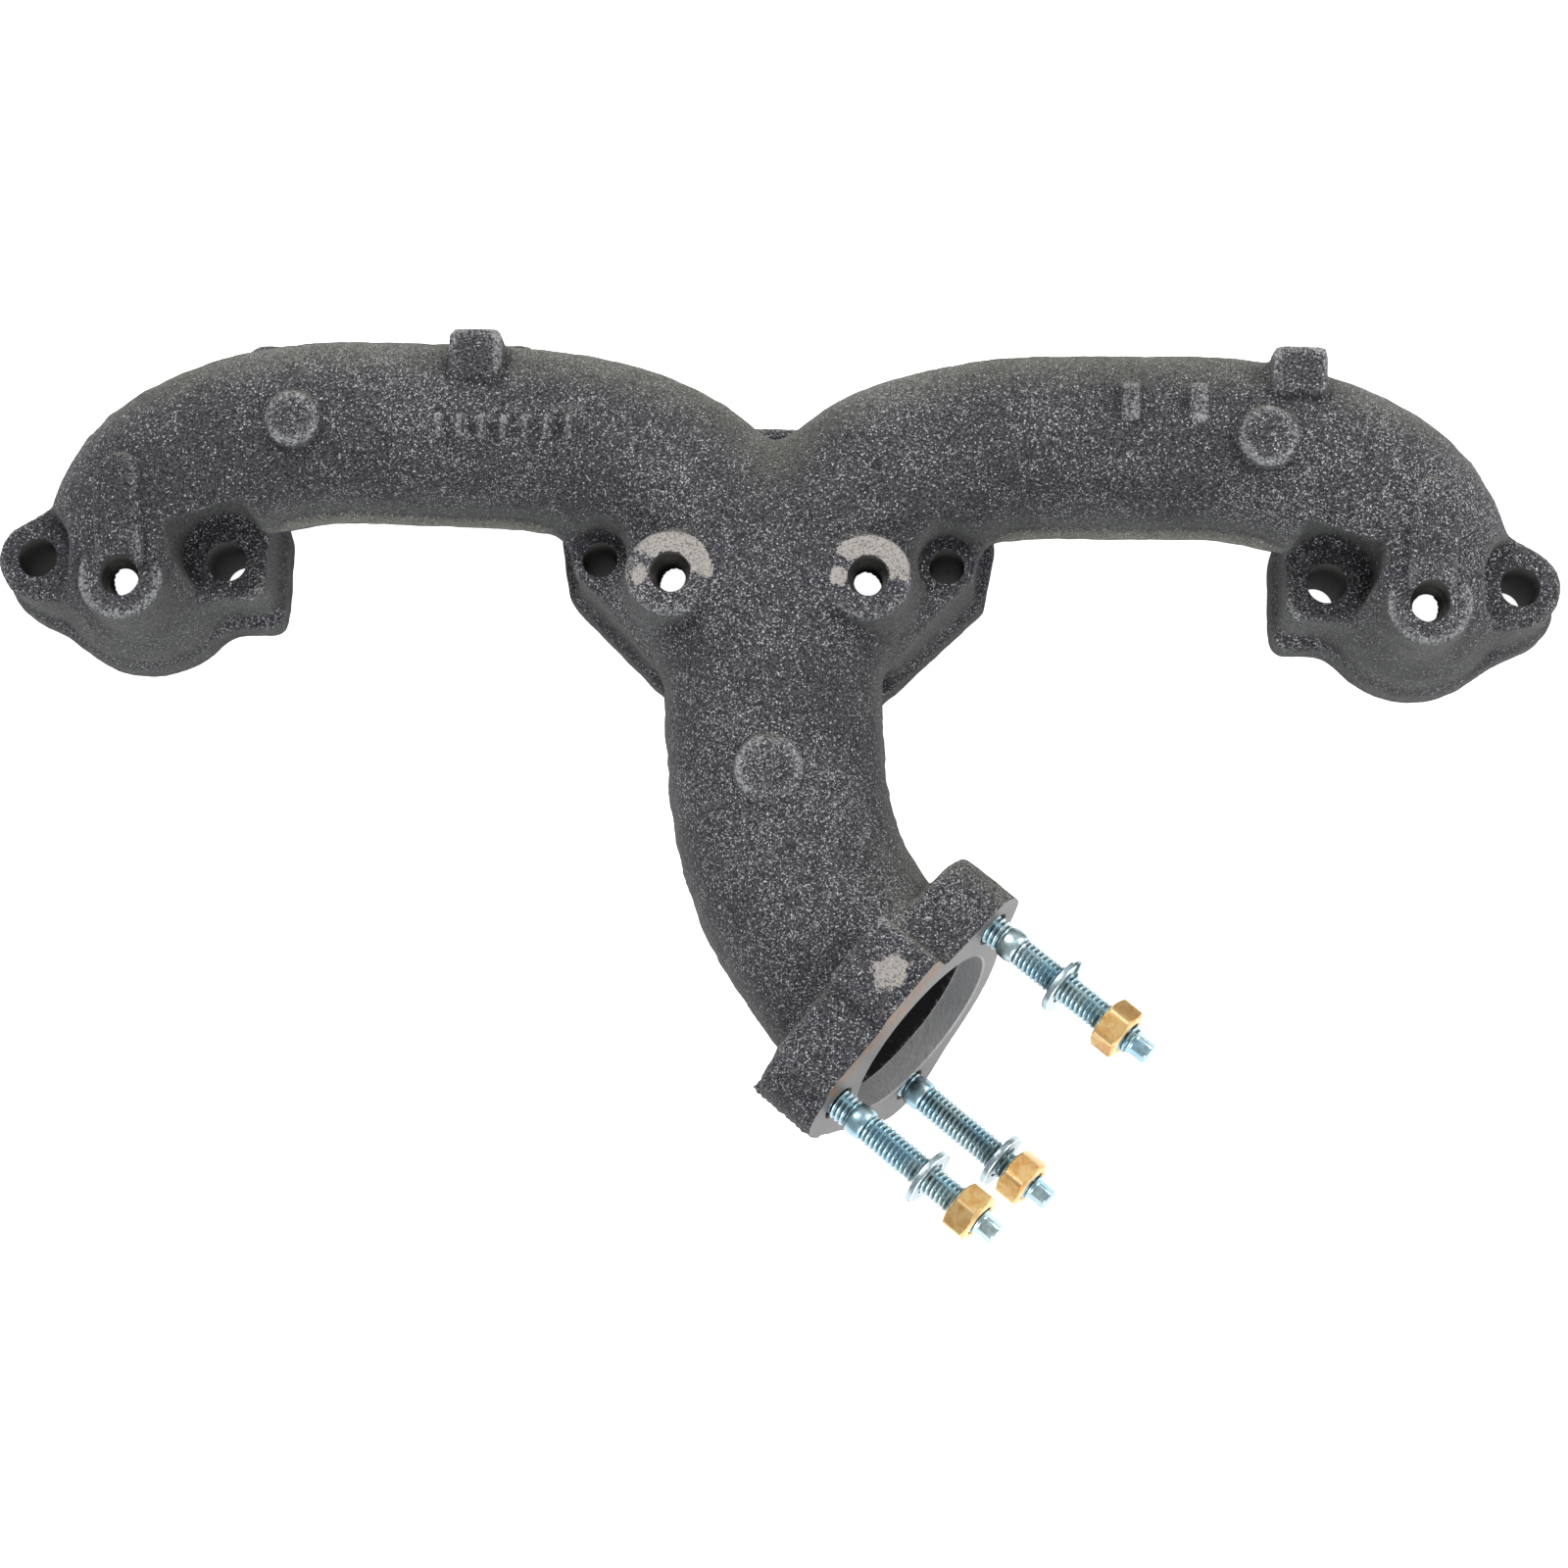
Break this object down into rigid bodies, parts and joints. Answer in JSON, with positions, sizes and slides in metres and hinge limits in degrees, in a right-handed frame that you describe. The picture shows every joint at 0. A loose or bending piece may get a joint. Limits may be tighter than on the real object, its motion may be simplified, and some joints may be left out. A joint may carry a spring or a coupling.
{
  "type": "exhaust manifold",
  "caption": "Cast iron V8 exhaust manifold: ports along one bank joined by two curved arms to a down pipe with an angled studded outlet flange, with nuts and lock washers.",
  "frame": {"origin": "on the gasket plane and the bolt line, midway between the two centre ports", "axes": "+X along the cylinder head, +Y away from the outlet across the head, +Z out of the engine away from the gasket plane"},
  "size_m": [0.475, 0.2703, 0.1003],
  "materials": {
    "cast_iron": "as-cast sand texture, shot blasted, with machined outlet face",
    "zinc_stud": "clear blue zinc plate",
    "washer_steel": "bright zinc plate",
    "brass_nut": "yellow, bright edges with warm tarnish on the flats"
  },
  "bodies": {
    "casting": {"manifold_casting": "cast_iron", "outlet_stud_1": "zinc_stud", "outlet_stud_2": "zinc_stud", "outlet_stud_3": "zinc_stud"},
    "washer_1": {"lock_washer_1": "washer_steel"},
    "nut_1": {"outlet_nut_1": "brass_nut"},
    "washer_2": {"lock_washer_2": "washer_steel"},
    "nut_2": {"outlet_nut_2": "brass_nut"},
    "washer_3": {"lock_washer_3": "washer_steel"},
    "nut_3": {"outlet_nut_3": "brass_nut"}
  },
  "joints": [
    {"name": "washer_slide_1", "type": "slide", "parent": "casting", "child": "washer_1", "axis": [0.7641, -0.6188, 0.1822], "range_m": [-0.0245, 0.005]},
    {"name": "nut_spin_1", "type": "hinge", "parent": "washer_1", "child": "nut_1", "pos_m": [0.09791, -0.13733, 0.08232], "axis": [0.7641, -0.6188, 0.1822], "range_deg": [-5554, 1132]},
    {"name": "washer_slide_2", "type": "slide", "parent": "casting", "child": "washer_2", "axis": [0.7641, -0.6188, 0.1822], "range_m": [-0.0315, 0.0045]},
    {"name": "nut_spin_2", "type": "hinge", "parent": "washer_2", "child": "nut_2", "pos_m": [0.05731, -0.18976, 0.08938], "axis": [0.7641, -0.6188, 0.1822], "range_deg": [-7142, 1019]},
    {"name": "washer_slide_3", "type": "slide", "parent": "casting", "child": "washer_3", "axis": [0.7641, -0.6188, 0.1822], "range_m": [-0.0322, 0.004]},
    {"name": "nut_spin_3", "type": "hinge", "parent": "washer_3", "child": "nut_3", "pos_m": [0.07366, -0.17709, 0.03692], "axis": [0.7641, -0.6188, 0.1822], "range_deg": [-7301, 906]}
  ],
  "couplings": [
    {"joint": "washer_slide_1", "follows": "nut_spin_1", "m_per_rad": 0.00025266},
    {"joint": "washer_slide_2", "follows": "nut_spin_2", "m_per_rad": 0.00025266},
    {"joint": "washer_slide_3", "follows": "nut_spin_3", "m_per_rad": 0.00025266}
  ]
}
